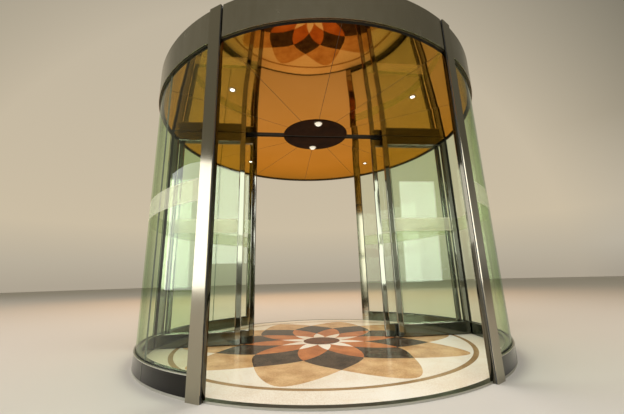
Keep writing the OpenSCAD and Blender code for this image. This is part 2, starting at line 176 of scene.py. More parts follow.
def noise(tree, scale, detail, stretch=(1, 1, 1), distortion=0.0):
    """Noise over the piece's own metres, drawn out along an axis by stretch."""
    place = add(tree, "ShaderNodeTexCoord")
    mapping = add(tree, "ShaderNodeMapping")
    mapping.inputs["Scale"].default_value = stretch
    tree.links.new(place.outputs["Object"], mapping.inputs["Vector"])
    texture = add(tree, "ShaderNodeTexNoise")
    texture.inputs["Scale"].default_value = scale
    texture.inputs["Detail"].default_value = detail
    texture.inputs["Distortion"].default_value = distortion
    tree.links.new(mapping.outputs["Vector"], texture.inputs["Vector"])
    return texture.outputs["Fac"]


def ramp(tree, value, stops):
    """Colours along a value, as (place, colour) stops."""
    node = add(tree, "ShaderNodeValToRGB")
    elements = node.color_ramp.elements
    while len(elements) < len(stops):
        elements.new(0.5)
    for element, (place, colour) in zip(elements, stops):
        element.position = place
        element.color = (*colour, 1)
    tree.links.new(value, node.inputs["Fac"])
    return node.outputs["Color"]


def spread(tree, value, low, high, from_low=0.0, from_high=1.0):
    """Turns one range of a value into another."""
    node = add(tree, "ShaderNodeMapRange")
    node.inputs["From Min"].default_value = from_low
    node.inputs["From Max"].default_value = from_high
    node.inputs["To Min"].default_value = low
    node.inputs["To Max"].default_value = high
    tree.links.new(value, node.inputs["Value"])
    return node.outputs["Result"]


def reckon(tree, operation, first, second=None):
    """One step of arithmetic on sockets or numbers."""
    node = add(tree, "ShaderNodeMath", operation=operation)
    for place, value in zip((0, 1), (first, second)):
        if isinstance(value, (int, float)):
            node.inputs[place].default_value = value
        elif value is not None:
            tree.links.new(value, node.inputs[place])
    return node.outputs["Value"]


def straight_length(tree, across, deep):
    """How far off a place is, from its two lengths along the axes."""
    squares = [reckon(tree, "MULTIPLY", value, value) for value in (across, deep)]
    return reckon(tree, "SQRT", reckon(tree, "ADD", *squares))


def mix_colours(tree, share, first, second):
    """Blends two colours, each a socket or a plain colour."""
    node = add(tree, "ShaderNodeMix", data_type="RGBA")
    tree.links.new(share, node.inputs[0])
    for place, colour in zip((6, 7), (first, second)):
        if isinstance(colour, tuple):
            node.inputs[place].default_value = (*colour, 1)
        else:
            tree.links.new(colour, node.inputs[place])
    return node.outputs[2]


def surface_of_two(tree, share, first, second):
    """Gives the material's surface a blend of two shaders."""
    mix = add(tree, "ShaderNodeMixShader")
    tree.links.new(share, mix.inputs["Fac"])
    tree.links.new(first, mix.inputs[1])
    tree.links.new(second, mix.inputs[2])
    tree.links.new(mix.outputs["Shader"], tree.nodes["Material Output"].inputs["Surface"])


def bump(tree, shader, height, strength, distance):
    """Dents and swells the look of a surface by a height times a distance, in metres."""
    node = add(tree, "ShaderNodeBump")
    node.inputs["Strength"].default_value = strength
    node.inputs["Distance"].default_value = distance
    tree.links.new(height, node.inputs["Height"])
    tree.links.new(node.outputs["Normal"], shader.inputs["Normal"])


def bare_metal(name, dark, light, gloss, tone_stretch=(1, 1, 1), mark_stretch=(1, 1, 1)):
    """Metal with a slow change of tone, and fine marks between the two roughnesses of its gloss."""
    material, tree, shader = new_material(name)
    shader.inputs["Metallic"].default_value = 1.0
    tone = noise(tree, scale=1.3, detail=2.0, stretch=tone_stretch)
    tree.links.new(ramp(tree, tone, ((0.3, dark), (0.7, light))), shader.inputs["Base Color"])
    marks = noise(tree, scale=26.0, detail=4.0, stretch=mark_stretch)
    tree.links.new(spread(tree, marks, *gloss), shader.inputs["Roughness"])
    return material, tree, shader


def polished_metal(name, dark, light, roughness, waviness=0.1, wave_scale=2.2):
    """Polished sheet and bar: tone and marks run upright, and the surface waves a little."""
    gloss = (roughness * 0.7, roughness * 1.3)
    material, tree, shader = bare_metal(name, dark, light, gloss, (1, 1, 0.35), (1, 1, 0.2))
    wave = noise(tree, wave_scale, detail=1.0, stretch=(1, 1, 0.5))
    bump(tree, shader, wave, strength=waviness, distance=0.02)
    return material


def ceiling_mirror(name, dark, light):
    """Gold mirror sheets that bow up towards the rim, each hung at a slightly different slant."""
    material, tree, shader = bare_metal(name, dark, light, (0.02, 0.04))
    shader.inputs["Specular Tint"].default_value = (1.0, 0.80, 0.42, 1)
    across, deep = axes(tree, "Object")[:2]
    out = straight_length(tree, across, deep)
    past = reckon(tree, "MAXIMUM", reckon(tree, "SUBTRACT", out, bow_start_r), 0.0)
    bow = reckon(tree, "MULTIPLY", reckon(tree, "MULTIPLY", past, past), -bow_rise)
    turn = reckon(tree, "ARCTAN2", across, deep)
    sheet = reckon(tree, "FLOOR", reckon(tree, "DIVIDE", turn, math.radians(seam_step_deg)))
    chance = add(tree, "ShaderNodeTexWhiteNoise", noise_dimensions="1D")
    tree.links.new(sheet, chance.inputs["W"])
    lean = spread(tree, chance.outputs["Value"], -sheet_slant, sheet_slant)
    slant = reckon(tree, "MULTIPLY", lean, out)
    ripple = reckon(tree, "MULTIPLY", noise(tree, scale=1.5, detail=1.0), sheet_ripple)
    height = reckon(tree, "ADD", reckon(tree, "ADD", bow, slant), ripple)
    bump(tree, shader, height, strength=1.0, distance=1.0)
    return material


# How clouds and grain share a stone's colour, how its veins run, and its shine
cloud_share = 0.6
grain_share = 0.4
vein_scale = 1.6
vein_bend = 1.4
vein_half = 0.03
stone_gloss = (0.072, 0.18)
stone_shine = 0.03


def stone(name, stops, cloud_scale, grain_scale, vein=None, vein_share=0.0):
    """Polished stone: clouds of colour, a fine grain over them and, where it has them, thin veins."""
    material, tree, shader = new_material(name)
    clouds = noise(tree, cloud_scale, detail=6.0)
    grain = noise(tree, grain_scale, detail=2.0)
    cloud_part = reckon(tree, "MULTIPLY", clouds, cloud_share)
    grain_part = reckon(tree, "MULTIPLY", grain, grain_share)
    colour = ramp(tree, reckon(tree, "ADD", cloud_part, grain_part), stops)
    if vein:
        flow = noise(tree, cloud_scale * vein_scale, detail=8.0, distortion=vein_bend)
        line = reckon(tree, "ABSOLUTE", reckon(tree, "SUBTRACT", flow, 0.5))
        veined = spread(tree, line, vein_share, 0.0, 0.0, vein_half)
        colour = mix_colours(tree, veined, colour, vein)
    tree.links.new(colour, shader.inputs["Base Color"])
    tree.links.new(spread(tree, clouds, *stone_gloss), shader.inputs["Roughness"])
    shader.inputs["Specular IOR Level"].default_value = stone_shine
    return material


def clear_glass(name, tints, mirror):
    """Clear pane: it mirrors on the faces turned outwards, and grows greener where it is looked along."""
    material, tree, shader = new_material(name)
    tree.nodes.remove(shader)
    facing = add(tree, "ShaderNodeLayerWeight")
    facing.inputs["Blend"].default_value = 0.5
    through = add(tree, "ShaderNodeBsdfTransparent")
    tree.links.new(ramp(tree, facing.outputs["Facing"], tints), through.inputs["Color"])
    gloss = add(tree, "ShaderNodeBsdfGlossy")
    gloss.inputs["Color"].default_value = (0.95, 1.0, 0.96, 1)
    gloss.inputs["Roughness"].default_value = 0.0
    fresnel = add(tree, "ShaderNodeFresnel")
    fresnel.inputs["IOR"].default_value = 1.52
    side = add(tree, "ShaderNodeNewGeometry")
    outer = reckon(tree, "SUBTRACT", 1.0, side.outputs["Backfacing"])
    both_faces = reckon(tree, "MINIMUM", reckon(tree, "MULTIPLY", fresnel.outputs["Fac"], mirror), 1.0)
    share = reckon(tree, "MULTIPLY", both_faces, outer)
    surface_of_two(tree, share, through.outputs["BSDF"], gloss.outputs["BSDF"])
    return material


def frosted_film(name, thin, thick):
    """Etched band on the glass: a pale veil that half hides what is behind it."""
    material, tree, shader = new_material(name)
    shader.inputs["Base Color"].default_value = (0.76, 0.75, 0.60, 1)
    shader.inputs["Roughness"].default_value = 0.5
    through = add(tree, "ShaderNodeBsdfTransparent")
    through.inputs["Color"].default_value = (0.97, 0.98, 0.93, 1)
    veil = spread(tree, noise(tree, scale=9.0, detail=3.0), thin, thick)
    surface_of_two(tree, veil, through.outputs["BSDF"], shader.outputs["BSDF"])
    return material


def matt(name, colour, roughness, unevenness=0.25, shine=0.5,
         grain=120.0, depth=0.0004, stretch=(1, 1, 1)):
    """Rubber, fibre and painted sheet: a dull colour with a fine broken surface."""
    material, tree, shader = new_material(name)
    darker = tuple(c * (1 - unevenness) for c in colour)
    lighter = tuple(c * (1 + unevenness) for c in colour)
    tone = ramp(tree, noise(tree, scale=7.0, detail=4.0), ((0.35, darker), (0.65, lighter)))
    tree.links.new(tone, shader.inputs["Base Color"])
    dullest = min(1.0, roughness * 1.15)
    marks = spread(tree, noise(tree, scale=30.0, detail=3.0), roughness * 0.85, dullest)
    tree.links.new(marks, shader.inputs["Roughness"])
    shader.inputs["Specular IOR Level"].default_value = shine
    bump(tree, shader, noise(tree, grain, detail=2.0, stretch=stretch), strength=0.4, distance=depth)
    return material


# A lens fades over its edge; the domes lie nearer the middle than the spotlights, and their glow is partly
# their own
# light and partly painted light and shade: brightest at their lowest point, darkest at the top
lens_edge = 0.002
dome_zone = (0.5, 0.6)
dome_glow_painted_shade_range = (0.24, 0.06)


def lamp_covers(name):
    """Opal domes that glow softly, with painted light and shade that is brightest at their bottom, and
    spotlights whose small lens shines inside a bronze trim.
    """
    material, tree, shader = new_material(name)
    across, deep, high = axes(tree, "Object")
    spot_place = spot_place_r / math.sqrt(2)
    across, deep = [reckon(tree, "ABSOLUTE", value) for value in (across, deep)]
    offsets = [reckon(tree, "SUBTRACT", value, spot_place) for value in (across, deep)]
    off_centre = straight_length(tree, *offsets)
    lens = spread(tree, off_centre, 1.0, 0.0, spot_lens_r, spot_lens_r + lens_edge)
    dome = spread(tree, deep, 1.0, 0.0, *dome_zone)
    # Painted light and shade on the domes: their glow falls off from their lowest point up to the hub
    dome_glow_with_painted_shade = spread(tree, high, *dome_glow_painted_shade_range, dome_low_z, hub_face_z)
    clouds = spread(tree, noise(tree, scale=60.0, detail=2.0), 0.92, 1.06)
    light = reckon(tree, "ADD", lens, reckon(tree, "MULTIPLY", dome, dome_glow_with_painted_shade))
    light = reckon(tree, "MULTIPLY", light, clouds)
    glow = ramp(tree, light, ((0.0, (0, 0, 0)), (1.0, (1.0, 0.94, 0.82))))
    tree.links.new(glow, shader.inputs["Emission Color"])
    shader.inputs["Emission Strength"].default_value = 3.0
    opal = reckon(tree, "MAXIMUM", lens, dome)
    cover = mix_colours(tree, opal, (0.30, 0.17, 0.06), (0.80, 0.77, 0.69))
    tree.links.new(cover, shader.inputs["Base Color"])
    shader.inputs["Roughness"].default_value = 0.25
    return material


# Metals, from their dark to their light tone

bronze_steel = polished_metal("bronze_steel", (0.33, 0.305, 0.235), (0.385, 0.355, 0.275), 0.10, 0.06)
fascia_steel = polished_metal("fascia_steel", (0.33, 0.305, 0.235), (0.385, 0.355, 0.275), 0.24, 0.05)
bright_steel = polished_metal("bright_steel", (0.60, 0.59, 0.55), (0.70, 0.69, 0.64), 0.16)
satin_steel = polished_metal("satin_steel", (0.40, 0.395, 0.34), (0.48, 0.47, 0.41), 0.42)
gate_steel = polished_metal("gate_steel", (0.245, 0.245, 0.205), (0.31, 0.308, 0.262), 0.05, 0.20, 3.5)
rail_steel = polished_metal("rail_steel", (0.095, 0.100, 0.078), (0.135, 0.140, 0.110), 0.10, 0.12, 3.5)
# The posts' doorway sides get a darker copy of the posts' steel: painted shade
reveal_steel_painted_shade = polished_metal("reveal_steel_painted_shade", (0.085, 0.080, 0.062), (0.12, 0.112, 0.088), 0.06)
plinth_steel = polished_metal("plinth_steel", (0.10, 0.105, 0.08), (0.15, 0.155, 0.12), 0.16)
black_gloss = polished_metal("black_gloss", (0.022, 0.021, 0.020), (0.038, 0.036, 0.034), 0.12)
ring_steel = polished_metal("ring_steel", (0.060, 0.058, 0.042), (0.095, 0.090, 0.066), 0.34)
soffit_steel = polished_metal("soffit_steel", (0.150, 0.130, 0.085), (0.190, 0.165, 0.110), 0.42)
gold_mirror = ceiling_mirror("gold_mirror", (0.56, 0.270, 0.062), (0.61, 0.300, 0.078))
lamp_bronze = polished_metal("lamp_bronze", (0.30, 0.21, 0.11), (0.40, 0.29, 0.16), 0.2)

# Stones of the floor, each with its colours, the scales of its clouds and grain, and its veins

cream_marble = stone(
    "cream_marble",
    ((0.32, (0.72, 0.59, 0.43)), (0.48, (0.90, 0.83, 0.70)), (0.66, (0.95, 0.92, 0.83))),
    1.1, 140.0, (0.82, 0.70, 0.53), 0.35,
)
tan_granite = stone(
    "tan_granite",
    ((0.36, (0.46, 0.26, 0.110)), (0.50, (0.64, 0.40, 0.190)), (0.64, (0.78, 0.54, 0.290))),
    5.0, 110.0, (0.36, 0.20, 0.085), 0.16,
)
coral_stops = ((0.38, (0.38, 0.118, 0.036)), (0.62, (0.63, 0.232, 0.072)))
coral_granite = stone("coral_granite", coral_stops, 5.0, 90.0)
dark_stops = ((0.38, (0.034, 0.022, 0.014)), (0.62, (0.105, 0.072, 0.048)))
dark_granite = stone("dark_granite", dark_stops, 6.0, 110.0)
umber_stops = ((0.38, (0.090, 0.026, 0.008)), (0.62, (0.175, 0.056, 0.018)))
umber_granite = stone("umber_granite", umber_stops, 6.0, 110.0)
olive_stone = stone("olive_stone", ((0.38, (0.31, 0.19, 0.085)), (0.62, (0.44, 0.29, 0.14))), 4.0, 120.0)

# Glass, with its tints from looked through to looked along, and its frosted bands

wall_tints = ((0.0, (0.955, 0.980, 0.93)), (0.75, (0.905, 0.960, 0.85)), (0.97, (0.62, 0.74, 0.52)))
gate_tints = ((0.0, (0.952, 0.982, 0.946)), (0.75, (0.90, 0.960, 0.88)), (0.97, (0.62, 0.75, 0.58)))
wall_glass = clear_glass("wall_glass", wall_tints, 0.7)
gate_glass = clear_glass("gate_glass", gate_tints, 1.3)
wall_film = frosted_film("wall_film", 0.24, 0.32)
gate_film = frosted_film("gate_film", 0.24, 0.32)
film_edge = frosted_film("film_edge", 0.50, 0.60)

# Rubber, fibre and paint

black_rubber = matt("black_rubber", (0.014, 0.014, 0.013), 0.5)
joint_seal = matt("joint_seal", (0.085, 0.105, 0.080), 0.4)
brush_fibre = matt(
    "brush_fibre", (0.016, 0.014, 0.011), 0.9,
    shine=0.2, grain=500.0, depth=0.002, stretch=(1, 1, 0.1),
)
seam_seal = matt("seam_seal", (0.050, 0.024, 0.008), 0.5)
roof_paint = matt("roof_paint", (0.24, 0.24, 0.235), 0.6, unevenness=0.06)
machine_paint = matt("machine_paint", (0.20, 0.20, 0.21), 0.5, unevenness=0.08)
track_paint = matt("track_paint", (0.008, 0.006, 0.004), 0.5, shine=0.2)
hub_paint = matt("hub_paint", (0.026, 0.0085, 0.0025), 0.6, shine=0.05)
lamp_opal = lamp_covers("lamp_opal")

node_finish = {
    "floor_ring": ring_steel,
    "skirting_left": black_gloss,
    "skirting_right": black_gloss,
    "safety_edges": black_rubber,
    "canopy_ring": soffit_steel,
    "canopy_roof": roof_paint,
    "cross_beam": machine_paint,
    "spindle": machine_paint,
    "ceiling_front": gold_mirror,
    "ceiling_rear": gold_mirror,
    "track_beam": track_paint,
    "hub_disc": hub_paint,
    "ceiling_lamps": lamp_opal,
}


def dress_nodes():
    """Gives every carried-over node its finish."""
    for name, piece in nodes.items():
        if name in node_finish:
            finish = node_finish[name]
        elif name.startswith("curved_glass"):
            finish = wall_glass
        elif name.endswith("_glass"):
            finish = gate_glass
        elif name.startswith("fascia"):
            finish = fascia_steel
        elif name.startswith("post"):
            finish = bronze_steel
        elif name.endswith("_rail"):
            finish = rail_steel
        else:
            finish = gate_steel
        piece.data.materials.clear()
        piece.data.materials.append(finish)


# Mesh helpers

sharp_deg = 28
nearly_full_deg = 359.9


def finish_piece(name, mesh, body, finishes):
    """Turns a bmesh into a piece that rides on a body and carries its finishes."""
    bmesh.ops.recalc_face_normals(mesh, faces=mesh.faces)
    data = bpy.data.meshes.new(name)
    mesh.to_mesh(data)
    mesh.free()
    data.shade_smooth()
    data.set_sharp_from_angle(angle=math.radians(sharp_deg))
    for finish in finishes:
        data.materials.append(finish)
    piece = bpy.data.objects.new(name, data)
    bpy.context.scene.collection.objects.link(piece)
    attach(piece, body)
    return piece


def new_verts(mesh, make):
    """Runs a function that adds to the mesh, and gives back the corners that it added."""
    before = set(mesh.verts)
    make()
    return [vert for vert in mesh.verts if vert not in before]


def block(mesh, low, high, edge=0.0):
    """A bar between two corners, its edges bevelled where edge says so."""
    low, high = Vector(low), Vector(high)
    place = Matrix.Translation((low + high) / 2) @ Matrix.Diagonal((*(high - low), 1))
    made = bmesh.ops.create_cube(mesh, size=1.0, matrix=place)
    if edge:
        edges = list({e for vert in made["verts"] for e in vert.link_edges})
        bmesh.ops.bevel(mesh, geom=edges, offset=edge, affect="EDGES", segments=2, profile=0.5, material=-1)


def extruded(mesh, outline, move):
    """A closed bar: a flat outline drawn out by a move."""
    face = mesh.faces.new([mesh.verts.new(point) for point in outline])
    made = bmesh.ops.extrude_face_region(mesh, geom=[face], use_keep_orig=True)
    verts = [vert for vert in made["geom"] if isinstance(vert, bmesh.types.BMVert)]
    bmesh.ops.translate(mesh, verts=verts, vec=move)


def swept(mesh, profile, from_deg, to_deg, step_deg=1.0):
    """Sweeps a closed profile of (radius, z) points round the drum's axis."""
    full = to_deg - from_deg > nearly_full_deg
    verts = [mesh.verts.new(polar(radius, from_deg, z)) for radius, z in profile]
    edges = [mesh.edges.new((a, b)) for a, b in zip(verts, verts[1:] + verts[:1])]
    if not full:
        mesh.faces.new(verts)
    steps = max(1, round((to_deg - from_deg) / step_deg))
    made = bmesh.ops.spin(mesh, geom=verts + edges, cent=(0, 0, 0), axis=(0, 0, 1), dvec=(0, 0, 0),
                          angle=math.radians(to_deg - from_deg), steps=steps, use_merge=full)
    if not full:
        mesh.faces.new([vert for vert in made["geom_last"] if isinstance(vert, bmesh.types.BMVert)])


def strip(inner_r, outer_r, low_z, high_z):
    """Profile of a plain strip for a sweep."""
    return ((inner_r, low_z), (outer_r, low_z), (outer_r, high_z), (inner_r, high_z))


def post_edge_deg(radius):
    """Angle at the drum's axis between a post's middle and its side, at a radius."""
    return math.degrees(math.asin(post_half / radius))


def along_walls(mesh, profile):
    """Sweeps a profile along both glass walls, from post to post."""
    start = post_deg + post_edge_deg(min(radius for radius, z in profile))
    for turn in (0, 180):
        swept(mesh, profile, turn + start, turn + 180 - start)


def across_doorways(mesh, profile):
    """Sweeps a profile across both doorways, from post to post."""
    end = post_deg - post_edge_deg(min(radius for radius, z in profile))
    for turn in (0, 180):
        swept(mesh, profile, turn - end, turn + end)


def at_posts(mesh, low, high, edge=0.0):
    """The same bar at each of the four posts, in the post's own axes."""
    for side in (-1, 1):
        for end in (-1, 1):
            for vert in new_verts(mesh, lambda: block(mesh, low, high, edge)):
                place = post_out * vert.co.x + post_aside * vert.co.y
                vert.co = Vector((side * place.x, -end * place.y, vert.co.z))


def turned_ring(mesh, centre, profile, step_deg=7.5):
    """A ring turned round an upright axis through a point."""
    verts = new_verts(mesh, lambda: swept(mesh, profile, 0, 360, step_deg))
    bmesh.ops.translate(mesh, verts=verts, vec=centre)


# Brushes end in tufts of slightly different lengths; the mixer keeps neighbours apart

tuft_w = 0.006
tuft_ragged = 0.0016
tuft_mixer = 12.9898


def brush(mesh, start, along, free, length, reach, thickness):
    """A strip brush that runs along one axis and ends in ragged tufts in the free direction."""
    start, along, free = Vector(start), Vector(along), Vector(free)
    across = along.cross(free)
    place = Matrix((along * length, across * thickness, free * reach)).transposed().to_4x4()
    place.translation = start + along * length / 2 + free * reach / 2
    made = bmesh.ops.create_cube(mesh, size=1.0, matrix=place)
    long_edges = {e for vert in made["verts"] for e in vert.link_edges if e.calc_length() > length * 0.9}
    tufts = max(4, round(length / tuft_w))

    def cut():
        bmesh.ops.subdivide_edges(mesh, edges=list(long_edges), cuts=tufts, use_grid_fill=True)

    for vert in new_verts(mesh, cut):
        if (vert.co - start).dot(free) > reach / 2:
            count = round((vert.co - start).dot(along) / length * (tufts + 1))
            vert.co -= free * tuft_ragged * abs(math.sin(count * tuft_mixer))


# Inlaid floor: ten pointed petals that cross each other round a centre disc

petal_count = 10
petal_step = 360.0 / petal_count
# Radii where petals cross, from a row outside the tips inwards; each stretch of a petal's edge is drawn
# through four of them, and the last row is where the last stretch begins
petal_crossings = (2.05, 1.61, 1.168, 0.87, 0.475, 0.21, 0.02, 0.0)
last_row = len(petal_crossings) - 4
# How far a tip is rounded, in rows of crossings
petal_tip_round = 0.2
inlay_ring_r = (1.541, 1.586)
centre_disc_r = 0.206
diamond_cuts = 12
fan_cuts = (24, 3)
disc_sides = 96


def petal_radius(rows):
    """Radius of a petal's edge, counted in rows of crossings from its tip inwards."""
    place = math.hypot(rows, petal_tip_round)
    row = min(int(place), last_row)
    part = place - row
    before, near, far, after = petal_crossings[row:row + 4]
    bend = 2 * before - 5 * near + 4 * far - after
    turn = 3 * (near - far) + after - before
    return near + 0.5 * part * (far - before + part * (bend + part * turn))


def lay_grid(mesh, columns, rows, place, colour):
    """One stone: a flat grid whose corners are moved to their places in the pattern."""
    made = bmesh.ops.create_grid(mesh, x_segments=columns, y_segments=rows, size=0.5)
    faces = {face for vert in made["verts"] for face in vert.link_faces}
    for vert in made["verts"]:
        vert.co = place(vert.co.x + 0.5, vert.co.y + 0.5)
    for face in faces:
        face.material_index = colour


def lay_diamond(mesh, middle_deg, row, colour):
    """The stone between four petal edges."""
    def place(right, left):
        aside = (right - left) * petal_step / 2
        return polar(petal_radius(row + right + left), middle_deg + aside, floor_z)

    lay_grid(mesh, diamond_cuts, diamond_cuts, place, colour)


def lay_fan(mesh, middle_deg, inner, outer, colour):
    """The stone between two edges round the centre, each a radius by the distance from its middle."""
    def place(across, out):
        side = across * 2 - 1
        low, high = inner(abs(side)), outer(abs(side))
        return polar(low + (high - low) * out, middle_deg + side * petal_step / 2, floor_z)

    lay_grid(mesh, *fan_cuts, place, colour)


def lay_ring(mesh, inner_r, outer_r, colour):
    """A round band of stone, closed on itself."""
    before = set(mesh.faces)
    swept(mesh, strip(inner_r, outer_r, 0, floor_z), 0, 360)
    for face in set(mesh.faces) - before:
        face.material_index = colour


def inlaid_floor():
    """The whole stone floor: petals, the stones between them, centre disc, ring and border."""
    cream, tan, dark, coral, umber, olive = range(6)
    mesh = bmesh.new()

    def star_edge(side):
        return max(petal_radius(3 + side), centre_disc_r)

    for petal in range(petal_count):
        tip_deg = (petal + 0.5) * petal_step
        gap_deg = petal * petal_step
        lay_diamond(mesh, tip_deg, 0, tan)
        lay_diamond(mesh, gap_deg, 1, dark)
        lay_diamond(mesh, tip_deg, 2, coral)
        lay_fan(mesh, gap_deg, lambda side: centre_disc_r, star_edge, cream)
        lay_fan(mesh, gap_deg, lambda side: petal_radius(1 - side), lambda side: inlay_ring_r[0], cream)
    bmesh.ops.dissolve_degenerate(mesh, dist=0.00005, edges=mesh.edges)
    disc = bmesh.ops.create_circle(
        mesh, cap_ends=True, cap_tris=False, segments=disc_sides, radius=centre_disc_r,
    )
    for vert in disc["verts"]:
        vert.co.z = floor_z
    for face in disc["verts"][0].link_faces:
        face.material_index = umber
    made = bmesh.ops.extrude_face_region(mesh, geom=list(mesh.faces), use_keep_orig=True)
    for vert in made["geom"]:
        if isinstance(vert, bmesh.types.BMVert):
            vert.co.z = 0
    lay_ring(mesh, inlay_ring_r[0], inlay_ring_r[1], olive)
    lay_ring(mesh, inlay_ring_r[1], floor_r, cream)
    finishes = (cream_marble, tan_granite, dark_granite, coral_granite, umber_granite, olive_stone)
    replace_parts(finish_piece("inlaid_floor", mesh, "drum", finishes), "floor_stone")


# Trims, seals and bands of the drum

trim_t = 0.0012
trim_edge = 0.0004
glass_play_r = 0.0005
gasket_w = 0.003
gasket_h = 0.0035
film_gap = 0.0006
film_t = 0.0004
film_edge_w = 0.0025
lip_play = 0.0015
lip_drop = 0.006
plinth_h = 0.016
cover_half = 0.0075
inner_plate_gap = (0.001, 0.004)
doorway_trim_w = 0.0025
doorway_trim_proud = 0.0008
reveal_edge_gap = (0.0035, 0.0015)
reveal_end_gap = 0.002
plug_play = 0.0003
plug_proud = 0.0015
plug_depth = 0.005
plug_edge = 0.0008
rim_brush_play = 0.004
rim_brush_t = 0.003
doorway_brush_w = 0.020


def drum_bands():
    """Frosted bands on the curved glass, each with a denser line along its edges."""
    mesh = bmesh.new()
    outer_r = glass_outer_r + film_gap
    along_walls(mesh, strip(outer_r, outer_r + film_t, band_low, band_high))
    veil = set(mesh.faces)
    for low_z in (band_low - film_edge_w, band_high):
        along_walls(mesh, strip(outer_r, outer_r + film_t, low_z, low_z + film_edge_w))
    for face in mesh.faces:
        face.material_index = 0 if face in veil else 1
    finish_piece("drum_glass_bands", mesh, "drum", (wall_film, film_edge))


def pane_seals():
    """Grey-green seals in the upright joints between curved panes."""
    mesh = bmesh.new()
    half = math.degrees(pane_joint / 2 / glass_outer_r)
    profile = strip(glass_inner_r + glass_play_r, glass_outer_r - glass_play_r, skirting_top, soffit_z)
    for middle in pane_joint_degs:
        swept(mesh, profile, middle - half, middle + half)
    finish_piece("pane_joint_seals", mesh, "drum", (joint_seal,))


def glass_gaskets():
    """Black gaskets on both sides of the curved glass, at the skirting, the canopy and the posts."""
    mesh = bmesh.new()
    for inner_r in (glass_outer_r, glass_inner_r - gasket_w):
        along_walls(mesh, strip(inner_r, inner_r + gasket_w, skirting_top, skirting_top + gasket_h))
        along_walls(mesh, strip(inner_r, inner_r + gasket_w, soffit_z - gasket_h, soffit_z))
        beside = math.sqrt((inner_r + gasket_w / 2) ** 2 - post_half ** 2) - gasket_w / 2
        low = (beside, post_half, skirting_top)
        at_posts(mesh, low, (beside + gasket_w, post_half + gasket_h, soffit_z))
    finish_piece("glass_gaskets", mesh, "drum", (black_rubber,))


def skirting_trims():
    """Satin angle along the skirting's top edge, and a satin plinth at its foot."""
    mesh = bmesh.new()
    lip_r = glass_outer_r + gasket_w + lip_play
    trim_r = wall_r + trim_t
    along_walls(mesh, (
        (lip_r, skirting_top), (lip_r, skirting_top + trim_t), (trim_r, skirting_top + trim_t),
        (trim_r, skirting_top - lip_drop), (wall_r, skirting_top - lip_drop), (wall_r, skirting_top),
    ))
    along_walls(mesh, (
        (ring_r, 0), (trim_r, 0), (trim_r, plinth_h),
        (wall_r, plinth_h), (wall_r, floor_z), (ring_r, floor_z),
    ))
    finish_piece("skirting_trims", mesh, "drum", (satin_steel,))


def skirting_covers():
    """Cover strips over the skirting's joints, and plates on its inner side."""
    mesh = bmesh.new()
    half = math.degrees(cover_half / wall_r)
    profile = strip(wall_r, wall_r + trim_t, plinth_h, skirting_top - lip_drop)
    for middle in pane_joint_degs:
        swept(mesh, profile, middle - half, middle + half, 0.1)
    finish_piece("skirting_joint_covers", mesh, "drum", (plinth_steel,))
    mesh = bmesh.new()
    foot_gap, head_gap = inner_plate_gap
    along_walls(mesh, strip(wall_inner_r - trim_t, wall_inner_r, floor_z + foot_gap, skirting_top - head_gap))
    finish_piece("skirting_inner_plates", mesh, "drum", (plinth_steel,))


def doorway_trims():
    """Satin edge outside the metal ring, where people step in and out."""
    mesh = bmesh.new()
    across_doorways(mesh, strip(ring_r, ring_r + doorway_trim_w, 0, floor_z + doorway_trim_proud))
    finish_piece("doorway_ring_trims", mesh, "drum", (satin_steel,))


def post_trims():
    """Polished plates on the posts' doorway sides, in a darker copy of the posts' steel that paints shade
    there, and plugs under the rubber in its groove.
    """
    mesh = bmesh.new()
    inner_gap, outer_gap = reveal_edge_gap
    low = (post_inner_r + inner_gap, -post_half - trim_t, reveal_end_gap)
    at_posts(mesh, low, (edge_in - outer_gap, -post_half, top_z - reveal_end_gap), trim_edge)
    finish_piece("post_reveal_plates", mesh, "drum", (reveal_steel_painted_shade,))
    mesh = bmesh.new()
    low = (edge_in + plug_play, -post_half - plug_proud, 0)
    at_posts(mesh, low, (edge_out - plug_play, -post_half + plug_depth, edge_foot_z), plug_edge)
    finish_piece("post_foot_plugs", mesh, "drum", (black_rubber,))


def canopy_brushes():
    """Black brush under the fixed ring, round the rim of the turning ceiling."""
    mesh = bmesh.new()
    inner_r = ceiling_r + rim_brush_play
    outer_r = glass_inner_r - gasket_w - glass_play_r
    low_z = soffit_z - rim_brush_t
    across_doorways(mesh, strip(inner_r, inner_r + doorway_brush_w, low_z, soffit_z))
    along_walls(mesh, strip(inner_r, outer_r, low_z, soffit_z))
    finish_piece("ceiling_rim_brush", mesh, "drum", (brush_fibre,))


# Roof

sealant_half = 0.0021
sealant_depth = 0.003
sealant_proud = 0.0006
joint_end_gap = 0.02
screw_profile = ((0.0012, 0), (0.0055, 0), (0.0048, 0.0016), (0.0012, 0.0026))
screw_pitch = 0.28
screw_beside = 0.035
rim_screws = 48
rim_inset = 0.062
joint_keep_clear = 0.06


def roof_fixings():
    """Sealant in the roof's joints, and the screws beside them and round the rim."""
    mesh = bmesh.new()
    half = math.sqrt(wall_r ** 2 - roof_joint_y ** 2) - joint_end_gap
    for side in (-1, 1):
        middle = side * roof_joint_y
        low = (-half, middle - sealant_half, roof_top - sealant_depth)
        block(mesh, low, (half, middle + sealant_half, roof_top + sealant_proud), trim_edge)
    finish_piece("roof_joint_sealant", mesh, "drum", (black_rubber,))
    mesh = bmesh.new()
    per_joint = int(half / screw_pitch)
    places = [
        Vector((step * screw_pitch, side * (roof_joint_y + beside * screw_beside), 0))
        for side in (-1, 1) for beside in (-1, 1) for step in range(-per_joint, per_joint + 1)
    ]
    for step in range(rim_screws):
        place = polar(wall_r - rim_inset, (step + 0.5) * 360 / rim_screws)
        if abs(abs(place.y) - roof_joint_y) > joint_keep_clear:
            places.append(place)
    for place in places:
        turned_ring(mesh, place + Vector((0, 0, roof_top)), screw_profile, 45)
    finish_piece("roof_screws", mesh, "drum", (bright_steel,))


# Trims of the turning ceiling

